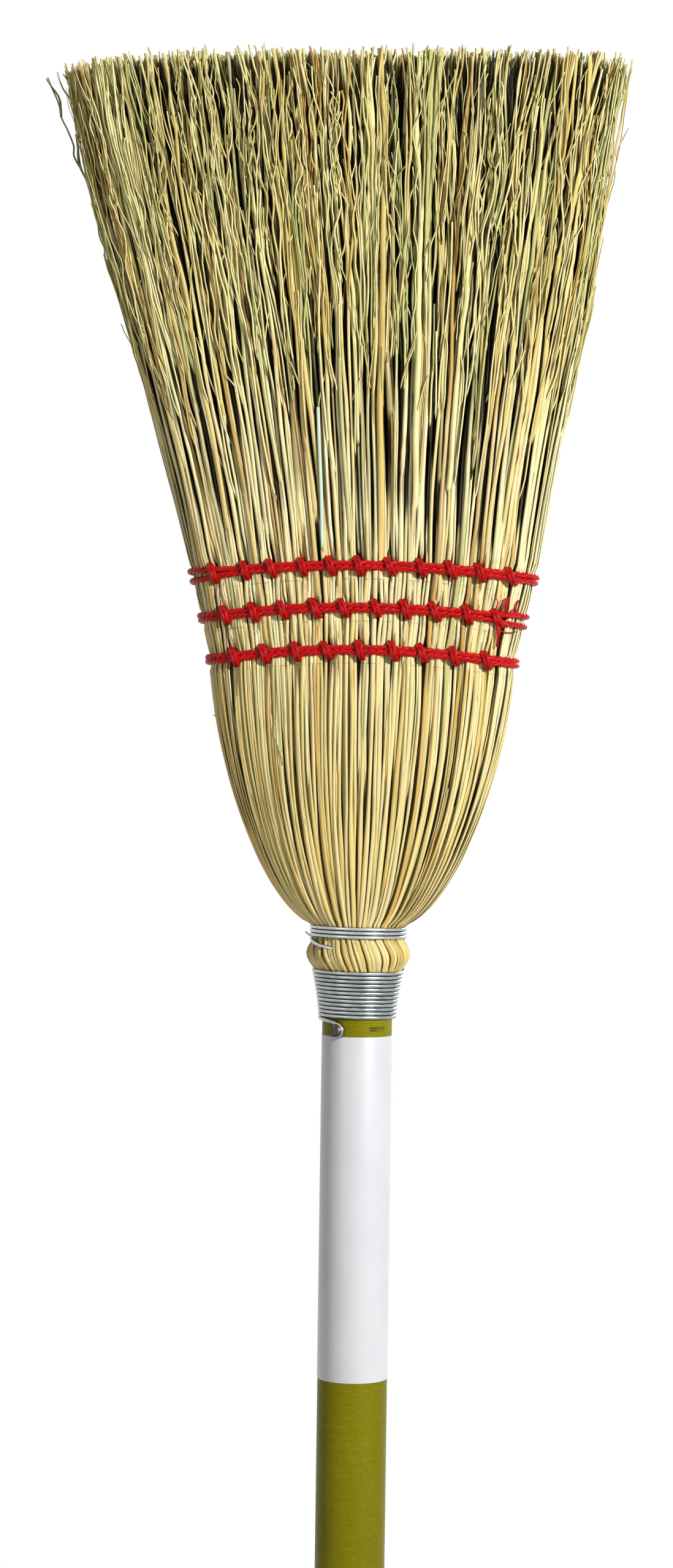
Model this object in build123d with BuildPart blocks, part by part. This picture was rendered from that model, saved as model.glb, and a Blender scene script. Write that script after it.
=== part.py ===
from build123d import *
import os
from math import atan2, copysign, cos, degrees, pi, radians, sin, sqrt, tan

import numpy as np

# A corn broom, set head up on the free end of its handle. Sizes are in millimetres.
# Z runs up the handle from its end face, X across the flat of the head, and the front faces -Y.

# Handle: a painted dowel whose driven end tapers inside the corn
handle_diameter = 28.6
handle_length = 1067.0
handle_end_round = 6.0
handle_tip_diameter = 12.0
handle_insertion = 120.0

# Label: a film seated in the paint, standing a little proud of it, just under the head
label_height = 140.5
label_seat = 0.2
label_stand = 0.2
label_drop = 7.0

# Nail that holds the end of the lower wire, driven to the left of the front
nail_shank_diameter = 2.4
nail_head_diameter = 5.0
nail_head_thickness = 1.5
nail_length = 20.0
nail_point = 1.0
nail_point_diameter = 0.8
nail_drop = 4.5
nail_bearing = -29.0

# Binding wire: turns lie a pitch apart
wire_diameter = 1.2
wire_spacing = 0.44
lower_turns = 11.5
upper_turns = 3.0
inner_turns = 2.0
inner_wire_share = 0.58
tail_bearing = -30.0
tail_drop = 4.5

# Corn in the neck: how far its layers stand out from the handle
butt_start = 7.0
collar_layer = 3.0
collar_power = 1.5
bulge_layer = 3.0
waist_layer = 3.9
inner_layer = 1.6
bulge_height = 12.0
neck_twist = 11.5

# Head: shoulders, sewn body and flared skirt
shoulder_height = 110.0
shoulder_power = 1.6
body_width = 125.0
shoulder_depth = 52.0
shoulder_crown = 45.0
sewn_depth = 43.0
skirt_length = 240.0
tip_width = 238.0
tip_depth = 62.0
tip_lean = -10.0
hurl_layer = 4.5
hurl_fill_height = 15.0
hurl_ridges = 48
ridge_height = 0.6
hurl_inner_sides = 40
core_start = 0.3
bundle_sides = 12
end_roundness = 0.75

# Strands of the skirt, rooted in the sewn body above the top row
strand_root = 2.3
strand_tip = 3.4
strand_pitch = 3.3
strand_sink = 2.0
skirt_root_rise = 8.0

# Sewing: three rows of doubled twine, locked by loops that go through the head
twine_diameter = 2.2
twine_spacing = 0.5
row_rise = 1.0
row_pitch = 17.0
row_bow = 3.0
loop_diameter = 1.9
loop_slant = 1.6
loop_corner = 2.2
loop_end_margin = 11.0
row_loops = {"bottom": 9, "middle": 10, "top": 11}

# Clearances
fit_gap = 0.1
wrap_gap = 0.2
layer_gap = 0.3
sew_gap = 0.3

handle_radius = handle_diameter / 2
wire_radius = wire_diameter / 2
wire_pitch = wire_diameter + wire_spacing
winding_bottom = handle_length - handle_insertion
winding_top = winding_bottom + lower_turns * wire_pitch + wire_diameter
waist_bottom = winding_top + bulge_height
waist_top = waist_bottom + (upper_turns + 1) * wire_pitch
flare_foot = waist_top + shoulder_height
tip_z = flare_foot + skirt_length
rows = {
    name: flare_foot + row_rise + index * row_pitch
    for index, name in enumerate(row_loops)
}
top_row = max(rows.values())
body_top = top_row + skirt_root_rise
waist_radius = handle_radius + waist_layer
inner_radius = handle_radius + inner_layer
butt_z = winding_bottom + butt_start


class Oval:
    """A flat oval of four tangent arcs: two round ends joined by two broad faces."""

    def __init__(self, half_width, half_depth, end_radius, centre_x=0.0):
        self.half_width = half_width
        self.half_depth = half_depth
        self.end_radius = end_radius
        self.centre_x = centre_x
        self.reach = half_width - end_radius
        squash = half_depth - end_radius
        self.rise = (self.reach**2 - squash**2) / (2 * squash)
        self.face_radius = half_depth + self.rise
        self.face_angle = atan2(self.reach, self.rise)
        self.end_length = end_radius * (pi / 2 - self.face_angle)
        self.half_length = 2 * (self.end_length + self.face_radius * self.face_angle)

    def place(self, share, outward=0.0):
        """Point at a share of the way round: 0 left end, 0.5 front, 1 right end, 1.5 back."""
        share = share % 2
        side = -1 if share <= 1 else 1
        along = min(share, 2 - share) * self.half_length
        if along < self.end_length:
            angle = along / self.end_radius
            centre, radius, lean = (-self.reach, 0), self.end_radius, (-cos(angle), sin(angle))
        elif along > self.half_length - self.end_length:
            angle = (self.half_length - along) / self.end_radius
            centre, radius, lean = (self.reach, 0), self.end_radius, (cos(angle), sin(angle))
        else:
            angle = (along - self.end_length) / self.face_radius - self.face_angle
            centre, radius, lean = (0, -self.rise), self.face_radius, (sin(angle), cos(angle))
        x = self.centre_x + centre[0] + (radius + outward) * lean[0]
        y = side * (centre[1] + (radius + outward) * lean[1])
        return x, y

    def face_reach(self):
        """How far across the broad faces go before the round ends begin."""
        return self.face_radius * sin(self.face_angle)

    def depth_at(self, x):
        """Half depth at a place across, or 0 outside the oval."""
        across = abs(x - self.centre_x)
        if across <= self.face_reach():
            return sqrt(self.face_radius**2 - across**2) - self.rise
        return sqrt(max(0.0, self.end_radius**2 - (across - self.reach) ** 2))

    def grown(self, distance):
        """The oval that runs parallel to this one, further out."""
        return Oval(
            self.half_width + distance,
            self.half_depth + distance,
            self.end_radius + distance,
            self.centre_x,
        )


def blend(start, end, share):
    return start + (end - start) * share


def round_oval(radius):
    return Oval(radius, radius, radius * end_roundness)


def neck_radius(z):
    """Outside of the corn, or of the bare handle, from the lowest turn to the waist."""
    if z <= winding_top:
        share = max(0.0, z - winding_bottom) / (winding_top - winding_bottom)
        return handle_radius + collar_layer * share**collar_power
    share = min(1.0, (z - winding_top) / bulge_height)
    return handle_radius + blend(collar_layer, waist_layer, share) + bulge_layer * sin(pi * share)


def neck_inner_radius(z):
    """Inside of the hurl in the neck, which swells over the inner binding."""
    share = min(1.0, max(0.0, (z - winding_top) / bulge_height))
    swell = (inner_layer + wire_diameter + wrap_gap) * sin(pi * share)
    return handle_radius + fit_gap + blend(0.0, inner_layer + layer_gap, share) + swell


def head_oval(z):
    """Outside of the corn at any height, along the crests of the stalks."""
    if z <= waist_top:
        return round_oval(neck_radius(z))
    rise = z - waist_top
    if z <= flare_foot:
        fullness = (1 - (1 - rise / shoulder_height) ** shoulder_power) ** (1 / shoulder_power)
        half_width = blend(waist_radius, body_width / 2, fullness)
    else:
        half_width = blend(body_width / 2, tip_width / 2, (z - flare_foot) / skirt_length)
    if rise <= shoulder_crown:
        half_depth = blend(waist_radius, shoulder_depth / 2, sin(pi / 2 * rise / shoulder_crown))
    elif z <= flare_foot:
        ease = (1 - cos(pi * (rise - shoulder_crown) / (shoulder_height - shoulder_crown))) / 2
        half_depth = blend(shoulder_depth / 2, sewn_depth / 2, ease)
    else:
        half_depth = blend(sewn_depth / 2, tip_depth / 2, max(0.0, z - top_row) / (tip_z - top_row))
    lean = tip_lean * max(0.0, z - top_row) / (tip_z - top_row)
    return Oval(half_width, half_depth, half_depth * end_roundness, lean)


def hurl_inner_oval(z):
    """Inside of the hurl at any height."""
    if z <= waist_top:
        return round_oval(neck_inner_radius(z))
    thin = waist_layer - inner_layer - layer_gap - fit_gap
    thickness = blend(thin, hurl_layer, min(1.0, (z - waist_top) / hurl_fill_height))
    return head_oval(z).grown(-thickness)


def bundle_oval(z):
    """Outside of the inner bunches at any height."""
    if z <= waist_top:
        return round_oval(inner_radius)
    return hurl_inner_oval(z).grown(-layer_gap)


def twist_share(z):
    """The stalks in the neck are wound round a little, as a share of a half circle."""
    share = min(1.0, max(0.0, (waist_bottom - z) / bulge_height))
    return radians(neck_twist) / pi * share


shoulder_steps = (0.02, 0.06, 0.12, 0.2, 0.32, 0.48, 0.7, 1.0)
shoulder_heights = [waist_top + shoulder_height * step for step in shoulder_steps]
butt_heights = [blend(butt_z, winding_top, step) for step in (0.0, 0.33, 0.67)]
bulge_heights = [winding_top + bulge_height * step for step in (0.0, 0.25, 0.5, 0.75, 1.0)]
sewn_heights = [waist_top] + shoulder_heights + [top_row, body_top]
hurl_heights = butt_heights + bulge_heights + sewn_heights
bundle_bottom = bulge_heights[1]
bundle_heights = [bundle_bottom] + sewn_heights


def hurl_section(z, side):
    """Half ring of stalks at one height: ridged outside, plain inside. Side 0 is the front, 1 the back."""
    outer = head_oval(z)
    inner = hurl_inner_oval(z)
    margin = layer_gap / inner.half_length
    start = side + margin + twist_share(z)
    finish = start + 1 - 2 * margin
    step = (finish - start) / hurl_ridges
    thickness = outer.half_depth - inner.half_depth
    groove = min(ridge_height, thickness / 3, step * inner.half_length / 4)
    inner_step = (finish - start) / hurl_inner_sides
    with BuildLine(Plane.XY.offset(z)) as outline:
        for ridge in range(hurl_ridges):
            left = start + ridge * step
            ThreePointArc(
                outer.place(left, -groove),
                outer.place(left + step / 2),
                outer.place(left + step, -groove),
            )
        Polyline(
            outer.place(finish, -groove),
            *[inner.place(finish - index * inner_step) for index in range(hurl_inner_sides + 1)],
            outer.place(start, -groove),
        )
    return make_face(outline.edges())


def bundle_section(z, stretches):
    """Slice of the inner bunches: stretches of the oval, each from one share to another, joined up."""
    oval = bundle_oval(z)
    with BuildLine(Plane.XY.offset(z)) as outline:
        Polyline(
            *[
                oval.place(blend(start, finish, index / bundle_sides))
                for start, finish in stretches
                for index in range(bundle_sides + 1)
            ],
            close=True,
        )
    return make_face(outline.edges())


def corn_strand(root, tip, angle):
    """One four-sided strand from its root in the sewn body to its trimmed tip."""
    with BuildPart() as strand:
        with BuildSketch(Plane((*root, body_top - strand_sink))):
            Rectangle(strand_root, strand_root, rotation=angle)
        with BuildSketch(Plane((*tip, tip_z))):
            Rectangle(strand_tip, strand_tip, rotation=angle)
        loft(ruled=True)
    return strand.part


def loop_places(name):
    """Where the lock stitches of a row cross its band, which bows down towards the ends of the head."""
    oval = head_oval(rows[name])
    count = row_loops[name]
    reach = oval.half_width - loop_end_margin
    for index in range(count):
        across = blend(-reach, reach, index / (count - 1))
        yield across, rows[name] - row_bow * (across / oval.face_reach()) ** 2


loop_rise = twine_diameter + twine_spacing / 2 + sew_gap + loop_diameter / 2
leg_places = [
    (across + side * loop_slant / 2, z - side * loop_rise)
    for name in rows
    for across, z in loop_places(name)
    for side in (-1, 1)
]

# Handle, with the seat of the label and the hole of the nail
nail_angle = radians(270 + nail_bearing)
nail_out = Vector(cos(nail_angle), sin(nail_angle), 0)
nail_right = Vector(-sin(nail_angle), cos(nail_angle), 0)
nail_z = winding_bottom - nail_drop
nail_plane = Plane(nail_out * handle_radius + Vector(0, 0, nail_z), x_dir=nail_right, z_dir=nail_out)
nail_head_seat = wire_diameter + 2 * wrap_gap
label_top = winding_bottom - label_drop
label_bottom = label_top - label_height
seat_radius = handle_radius - label_seat

with BuildPart() as handle:
    with BuildSketch():
        Circle(handle_radius)
    extrude(amount=waist_top)
    fillet(handle.edges().sort_by(Axis.Z)[0], handle_end_round)
    with BuildSketch(Plane.XY.offset(waist_top)):
        Circle(handle_radius)
    with BuildSketch(Plane.XY.offset(handle_length)):
        Circle(handle_tip_diameter / 2)
    loft()
    with BuildSketch(Plane.XY.offset(label_bottom)):
        Circle(handle_radius)
        Circle(seat_radius, mode=Mode.SUBTRACT)
    extrude(amount=label_height, mode=Mode.SUBTRACT)
    with BuildSketch(nail_plane):
        Circle(nail_shank_diameter / 2)
    extrude(amount=nail_head_seat - nail_length, mode=Mode.SUBTRACT)

with BuildPart() as label:
    with BuildSketch(Plane.XY.offset(label_bottom + fit_gap)):
        Circle(handle_radius + label_stand)
        Circle(seat_radius + fit_gap / 2, mode=Mode.SUBTRACT)
    extrude(amount=label_height - 2 * fit_gap)

with BuildPart() as nail:
    with BuildSketch(nail_plane.offset(nail_head_seat)):
        Circle(nail_head_diameter / 2)
    extrude(amount=nail_head_thickness)
    chamfer(nail.edges().filter_by(GeomType.CIRCLE).sort_by(SortBy.DISTANCE)[-1], nail_head_thickness / 3)
    with BuildSketch(nail_plane.offset(nail_head_seat)):
        Circle(nail_shank_diameter / 2)
    extrude(amount=nail_point - nail_length)
    with BuildSketch(nail_plane.offset(nail_head_seat - nail_length + nail_point)):
        Circle(nail_shank_diameter / 2)
    with BuildSketch(nail_plane.offset(nail_head_seat - nail_length)):
        Circle(nail_point_diameter / 2)
    loft()


def biarc(start, start_way, finish, finish_way):
    """Two tangent arcs from one point and direction to another, with equal tangent lengths."""
    span = finish - start
    ways = start_way + finish_way
    square = ways.dot(ways) - 4
    linear = -2 * span.dot(ways)
    length = (-linear - sqrt(linear**2 - 4 * square * span.dot(span))) / (2 * square)
    near = start + start_way * length
    far = finish - finish_way * length
    middle = (near + far) / 2
    TangentArc(start, middle, tangent=start_way)
    TangentArc(middle, finish, tangent=far - near)


def wound_path(stops, straight):
    """Path through stops, each a point and a direction, with a straight run at each end."""
    with BuildLine() as path:
        first, first_way = stops[0]
        last, last_way = stops[-1]
        Line(first - first_way * straight, first)
        for (start, start_way), (finish, finish_way) in zip(stops, stops[1:]):
            biarc(start, start_way, finish, finish_way)
        Line(last, last + last_way * straight)
    return path.wire()


def print_least_gap(name, path, diameter):
    """Least clear space between stretches of one path that lie more than six diameters apart along it."""
    steps_per_diameter = 6
    count = int(path.length * steps_per_diameter / diameter)
    points = np.array([tuple(path.position_at(index / count)) for index in range(count + 1)])
    apart = 6 * steps_per_diameter
    nearest = min(
        np.sqrt(((points[index + apart :] - points[index]) ** 2).sum(axis=1)).min()
        for index in range(count - apart)
    )
    print(f"{name}: least gap to itself {nearest - diameter:.2f} mm over {path.length:.0f} mm")


def neck_stop(angle_degrees, z, climb, radius):
    """Stop on a turn round the neck; climb is the rise over a half turn, against the clock from above."""
    angle = radians(angle_degrees)
    turn = 1 if climb < 0 else -1
    way = Vector(-sin(angle) * turn, cos(angle) * turn, climb / (pi * radius)).normalized()
    return Vector(radius * cos(angle), radius * sin(angle), z), way


def on_neck(z):
    return neck_radius(z) + wrap_gap + wire_radius


# Lower binding wire: hooked on the nail, then wound up over the butts of the hurl
hook_radius = nail_shank_diameter / 2 + wrap_gap + wire_radius
hook_centre = nail_out * (handle_radius + wrap_gap + wire_radius) + Vector(0, 0, nail_z)
hook_bottom = hook_centre - Vector(0, 0, hook_radius)
hook_top = hook_centre + Vector(0, 0, hook_radius)
lower_start_angle = 270 + nail_bearing - 90
lower_stops = [(hook_bottom, nail_right), (hook_top, -nail_right)]
for half_turn in range(int(2 * lower_turns) + 1):
    stop_z = winding_bottom + wire_radius + half_turn * wire_pitch / 2
    lower_stops.append(
        neck_stop(lower_start_angle - 180 * half_turn, stop_z, wire_pitch / 2, on_neck(stop_z))
    )
lower_path = wound_path(lower_stops, wire_diameter)
print_least_gap("lower_binding_wire", lower_path, wire_diameter)

with BuildPart() as lower_wire:
    with BuildSketch(Plane(lower_path @ 0, z_dir=lower_path % 0)):
        Circle(wire_radius)
    sweep(path=lower_path)

# Upper binding wire: three turns down the waist, then a tail that runs on to the bulge at the front
upper_z = waist_top - wire_pitch / 2
upper_stops = []
for half_turn in range(int(2 * upper_turns) + 1):
    stop_z = upper_z - half_turn * wire_pitch / 2
    upper_stops.append(neck_stop(90 + 180 * half_turn, stop_z, -wire_pitch / 2, on_neck(stop_z)))
tail_sweep = 90 + tail_bearing
tail_slope = tail_drop * 180 / tail_sweep
tail_turn_z = stop_z - wire_pitch
tail_end_z = stop_z - tail_drop
last_angle = 90 + 180 * half_turn
upper_stops.append(neck_stop(last_angle + 90, tail_turn_z, -tail_slope / 2, on_neck(tail_turn_z)))
upper_stops.append(
    neck_stop(last_angle + 90 + tail_sweep, tail_end_z, -tail_slope, on_neck(tail_end_z))
)
upper_path = wound_path(upper_stops, wire_diameter)
print_least_gap("upper_binding_wire", upper_path, wire_diameter)

with BuildPart() as upper_wire:
    with BuildSketch(Plane(upper_path @ 0, z_dir=upper_path % 0)):
        Circle(wire_radius)
    sweep(path=upper_path)

# Inner binding wire: round the butts of the inner bunches, under the bulge of the hurl
inner_z = winding_top + bulge_height * inner_wire_share - inner_turns * wire_pitch / 2
inner_wire_radius = inner_radius + wrap_gap + wire_radius
inner_stops = [
    neck_stop(90 - 180 * half_turn, inner_z + half_turn * wire_pitch / 2, wire_pitch / 2, inner_wire_radius)
    for half_turn in range(int(2 * inner_turns) + 1)
]
inner_path = wound_path(inner_stops, wire_diameter)
print_least_gap("inner_binding_wire", inner_path, wire_diameter)

with BuildPart() as inner_wire:
    with BuildSketch(Plane(inner_path @ 0, z_dir=inner_path % 0)):
        Circle(wire_radius)
    sweep(path=inner_path)

os.makedirs("parts", exist_ok=True)
for piece, name in (
    (handle, "handle"),
    (label, "label_sleeve"),
    (nail, "anchor_nail"),
    (lower_wire, "lower_binding_wire"),
    (upper_wire, "upper_binding_wire"),
    (inner_wire, "inner_binding_wire"),
):
    piece.part.label = name
    export_step(piece.part, f"parts/{name}.step")

# Inner bunches: the core with a shoulder each side, all bored for the handle
split_margin = layer_gap / bundle_oval(body_top).half_length
bundles = {
    "inside_corn": [
        (core_start + split_margin, 1 - core_start - split_margin),
        (1 + core_start + split_margin, 2 - core_start - split_margin),
    ],
    "left_shoulder_corn": [(2 - core_start, 2 + core_start)],
    "right_shoulder_corn": [(1 - core_start, 1 + core_start)],
}
root_oval = bundle_oval(body_top - strand_sink)
tip_oval = hurl_inner_oval(tip_z)
columns = int(2 * root_oval.half_width / strand_pitch)
layers = int(2 * root_oval.half_depth / strand_pitch)
split_reach = abs(root_oval.place(core_start)[0] - root_oval.centre_x)
bundle_strands = {name: [] for name in bundles}
for column in range(columns):
    across = 2 * (column + 0.5) / columns - 1
    reach = across * root_oval.half_width
    if abs(abs(reach) - split_reach) < strand_root:
        continue
    if abs(reach) < split_reach:
        owner = "inside_corn"
    else:
        owner = "left_shoulder_corn" if reach < 0 else "right_shoulder_corn"
    for layer in range(layers):
        deep = 2 * (layer + 0.5) / layers - 1
        root = (root_oval.centre_x + reach, deep * root_oval.half_depth)
        tip = (tip_oval.centre_x + across * tip_oval.half_width, deep * tip_oval.half_depth)
        root_corner = (root[0] + copysign(strand_root / 2, reach), abs(root[1]) + strand_root / 2)
        tip_corner = (tip[0] + copysign(strand_tip / 2, reach), abs(tip[1]) + strand_tip / 2)
        root_inside = root_corner[1] + layer_gap <= root_oval.depth_at(root_corner[0])
        tip_inside = tip_corner[1] + layer_gap <= tip_oval.depth_at(tip_corner[0])
        if root_inside and tip_inside:
            bundle_strands[owner].append(corn_strand(root, tip, 0))

for name, stretches in bundles.items():
    slices = [bundle_section(z, stretches) for z in bundle_heights]
    with BuildPart() as bundle:
        loft(slices, ruled=True)
        with BuildSketch(Plane.XZ):
            Polygon(
                (0, bundle_bottom - fit_gap),
                (handle_radius + layer_gap, bundle_bottom - fit_gap),
                (handle_radius + layer_gap, waist_top),
                (handle_tip_diameter / 2 + layer_gap, handle_length),
                (0, handle_length + layer_gap),
                align=None,
            )
        revolve(axis=Axis.Z, mode=Mode.SUBTRACT)
        with Locations(*[Location((x, 0, z), (90, 0, 0)) for x, z in leg_places]):
            Cylinder(loop_diameter / 2 + layer_gap, 2 * sewn_depth, mode=Mode.SUBTRACT)
        add(bundle_strands[name])
    bundle.part.label = name
    export_step(bundle.part, f"parts/{name}.step")

# Hurl: the outer layer of long stalks, a front half and a back half
hurl_tips = head_oval(tip_z)
hurl_roots = head_oval(body_top)
for side, name in enumerate(("front_hurl_corn", "back_hurl_corn")):
    strands = []
    for ridge in range(hurl_ridges):
        share = side + (ridge + 0.5) / hurl_ridges
        root = hurl_roots.place(share, -hurl_layer / 2)
        tip = hurl_tips.place(share, -hurl_layer / 2)
        crest = hurl_roots.place(share)
        strands.append(corn_strand(root, tip, degrees(atan2(crest[1] - root[1], crest[0] - root[0]))))
    slices = [hurl_section(z, side) for z in hurl_heights]
    with BuildPart() as hurl:
        loft(slices, ruled=True)
        with Locations(*[Location((x, 0, z), (90, 0, 0)) for x, z in leg_places]):
            Cylinder(loop_diameter / 2 + layer_gap, 2 * sewn_depth, mode=Mode.SUBTRACT)
        add(strands)
    hurl.part.label = name
    export_step(hurl.part, f"parts/{name}.step")
    print(name, "strands", len(strands))
print("inner strands", sum(len(group) for group in bundle_strands.values()))

# Sewing: each row is one twine wound twice round the head, locked by its loops
twine_pitch = twine_diameter + twine_spacing


def twine_stop(z, quarter, corner, slope):
    """Stop on the twine of a row: a quarter point of the head, or the corner where a face ends beside it."""
    oval = head_oval(z).grown(sew_gap + twine_diameter / 2)
    share = quarter + corner * oval.end_length / oval.half_length
    point = Vector(*oval.place(share), z)
    outward = Vector(*oval.place(share, 1.0), z) - point
    level = Vector(0, 0, 1).cross(outward)
    return point, (level + Vector(0, 0, slope)).normalized()


for name, row_z in rows.items():
    row_oval = head_oval(row_z).grown(sew_gap + twine_diameter / 2)
    slope = 2 * row_bow / row_oval.face_reach()
    end_tangent = row_oval.end_radius * tan((pi / 2 - row_oval.face_angle) / 2)
    end_drop = row_bow + slope * end_tangent
    end_slope = twine_pitch / (2 * end_tangent)
    turn_stops = (
        (row_bow, 1, 1, slope),
        (0.0, 1.5, 0, 0.0),
        (row_bow, 2, -1, -slope),
        (row_bow, 2, 1, slope),
        (0.0, 2.5, 0, 0.0),
        (row_bow, 3, -1, -slope),
    )
    stops = [twine_stop(row_z - twine_pitch - end_drop, 1, 0, end_slope)]
    for level in (row_z - twine_pitch / 2, row_z + twine_pitch / 2):
        stops += [twine_stop(level - drop, *place) for drop, *place in turn_stops]
    stops += [twine_stop(row_z + twine_pitch - end_drop, 3, 0, end_slope)]
    twine_path = wound_path(stops, twine_diameter)
    print_least_gap(f"{name}_stitch_band", twine_path, twine_diameter)
    with BuildPart() as band:
        with BuildSketch(Plane(twine_path @ 0, z_dir=twine_path % 0)):
            Circle(twine_diameter / 2)
        sweep(path=twine_path)
    band.part.label = f"{name}_stitch_band"
    export_step(band.part, f"parts/{name}_stitch_band.step")

    with BuildPart() as loops:
        for across, z in loop_places(name):
            band_face = head_oval(z).grown(twine_diameter + 2 * sew_gap)
            reach = band_face.depth_at(across) + loop_diameter / 2
            high = (across - loop_slant / 2, z + loop_rise)
            low = (across + loop_slant / 2, z - loop_rise)
            with BuildLine() as loop_path:
                FilletPolyline(
                    (high[0], 0, high[1]),
                    (high[0], -reach, high[1]),
                    (low[0], -reach, low[1]),
                    (low[0], 0, low[1]),
                    radius=loop_corner,
                )
            with BuildSketch(Plane(loop_path.line @ 0, z_dir=loop_path.line % 0)):
                Circle(loop_diameter / 2)
            sweep(path=loop_path.line)
        mirror(about=Plane.XZ)
    loops.part.label = f"{name}_lock_stitches"
    export_step(loops.part, f"parts/{name}_lock_stitches.step")
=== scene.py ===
import math
import random
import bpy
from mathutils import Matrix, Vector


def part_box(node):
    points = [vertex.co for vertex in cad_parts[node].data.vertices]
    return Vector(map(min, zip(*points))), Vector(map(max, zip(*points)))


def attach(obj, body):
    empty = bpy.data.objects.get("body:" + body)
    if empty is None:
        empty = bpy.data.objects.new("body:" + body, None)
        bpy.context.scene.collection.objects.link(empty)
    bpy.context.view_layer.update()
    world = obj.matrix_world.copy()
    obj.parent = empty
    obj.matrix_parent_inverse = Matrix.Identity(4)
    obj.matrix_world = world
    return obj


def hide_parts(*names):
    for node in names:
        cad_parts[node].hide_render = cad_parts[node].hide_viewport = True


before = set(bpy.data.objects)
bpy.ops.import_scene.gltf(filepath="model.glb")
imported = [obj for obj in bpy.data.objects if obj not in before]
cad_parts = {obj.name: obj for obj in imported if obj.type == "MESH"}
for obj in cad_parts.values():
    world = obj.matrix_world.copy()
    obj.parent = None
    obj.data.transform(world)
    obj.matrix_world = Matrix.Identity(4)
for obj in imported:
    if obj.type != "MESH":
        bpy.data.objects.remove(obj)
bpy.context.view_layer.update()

from types import SimpleNamespace

import bpy
import numpy as np


# Handle: a turned wooden dowel with a rounded end, painted in olive gloss and driven into the head.
# Fine rings from the lathe show through the paint, with a red speck and a black scuff; the ripples
# carry painted highlight and shade, and pale flecks are painted glints.
class Term:
    """A socket of a node tree that takes part in formulas: arithmetic on it adds Math nodes."""

    def __init__(self, tree, socket=None):
        self.tree = tree
        self.socket = socket

    def feed(self, socket, value):
        """Links or sets one socket."""
        if isinstance(value, Term):
            self.tree.links.new(value.socket, socket)
        elif socket.type == "RGBA" and len(value) == 3:
            socket.default_value = (*value, 1.0)
        else:
            socket.default_value = value

    def add(self, kind, settings=(), *values, **named):
        """Any other node: settings, then its sockets in order, or by name with _ for a space."""
        node = self.tree.nodes.new(kind)
        for name, setting in dict(settings).items():
            if name == "stops":
                stops = node.color_ramp.elements
                while len(stops) < len(setting):
                    stops.new(1.0)
                for stop, (place, colour) in zip(stops, setting):
                    stop.position = place
                    stop.color = (*colour, 1.0)
            else:
                setattr(node, name, setting)
        sockets = [socket for socket in node.inputs if socket.enabled]
        for socket, value in zip(sockets, values):
            self.feed(socket, value)
        for name, value in named.items():
            self.feed(next(s for s in sockets if s.name == name.replace("_", " ")), value)
        return Term(self.tree, next((s for s in node.outputs if s.enabled), None))

    def out(self, name):
        """Another output of the same node."""
        return Term(self.tree, self.socket.node.outputs[name])

    def math(self, operation, *values):
        return self.add("ShaderNodeMath", {"operation": operation}, *values)

    def smooth(self, start, end):
        """0 below start, 1 above end, eased between."""
        return self.add("ShaderNodeMapRange", {"interpolation_type": "SMOOTHSTEP"},
                        Value=self, From_Min=start, From_Max=end)

    def near(self, centre, inner, outer):
        """1 within inner of a centre, 0 beyond outer, eased between."""
        return 1 - self.math("ABSOLUTE", self - centre).smooth(inner, outer)

    def __add__(self, other):
        return self.math("ADD", self, other)

    def __sub__(self, other):
        return self.math("SUBTRACT", self, other)

    def __rsub__(self, other):
        return self.math("SUBTRACT", other, self)

    def __mul__(self, other):
        return self.math("MULTIPLY", self, other)

    def __truediv__(self, other):
        return self.math("DIVIDE", self, other)

    def __pow__(self, other):
        return self.math("POWER", self, other)

    __radd__ = __add__
    __rmul__ = __mul__


def finish(name, **constants):
    """A material whose constants go straight onto its shader, and a term to build on."""
    material = bpy.data.materials.new(name)
    material.use_nodes = True
    sockets = material.node_tree.nodes["Principled BSDF"].inputs
    for socket, value in constants.items():
        sockets[socket.replace("_", " ")].default_value = value
    return material, Term(material.node_tree)


def dress(term, colour, roughness=None, relief=None, strength=None, depth=None):
    """Feeds what changes over a surface to its shader; the relief is raised by a bump."""
    sockets = term.tree.nodes["Principled BSDF"].inputs
    term.feed(sockets["Base Color"], colour)
    if relief is not None:
        bump = term.add("ShaderNodeBump", Strength=strength, Distance=depth, Height=relief)
        term.feed(sockets["Roughness"], roughness)
        term.feed(sockets["Normal"], bump)


def where(term):
    """The place of a point on the piece."""
    return term.add("ShaderNodeTexCoord").out("Object")


def split(vector):
    """X, Y and Z of a vector."""
    parts = vector.add("ShaderNodeSeparateXYZ", {}, vector)
    return [parts.out(axis) for axis in "XYZ"]


def grain(term, stretch, detail=3.0):
    """Noise stretched differently along X, Y and Z, in cells to the metre."""
    place = term.add("ShaderNodeMapping", Vector=where(term), Scale=stretch)
    return term.add("ShaderNodeTexNoise", Vector=place, Scale=1.0, Detail=detail)


def layered(colour, *coats):
    """A colour under coats of others, each laid on by its share."""
    for share, coat in coats:
        colour = share.add("ShaderNodeMix", {"data_type": "RGBA"}, Factor=share, A=colour, B=coat)
    return colour


def placed(name, data):
    """An object in the scene, at the origin."""
    item = bpy.data.objects.new(name, data)
    bpy.context.scene.collection.objects.link(item)
    return item


def circle(radius, z, sides):
    """Points of a level circle round the handle; its radius may change from side to side."""
    angles = 2 * math.pi * np.arange(sides) / sides
    return np.column_stack((radius * np.cos(angles), radius * np.sin(angles), np.full(sides, z)))


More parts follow.
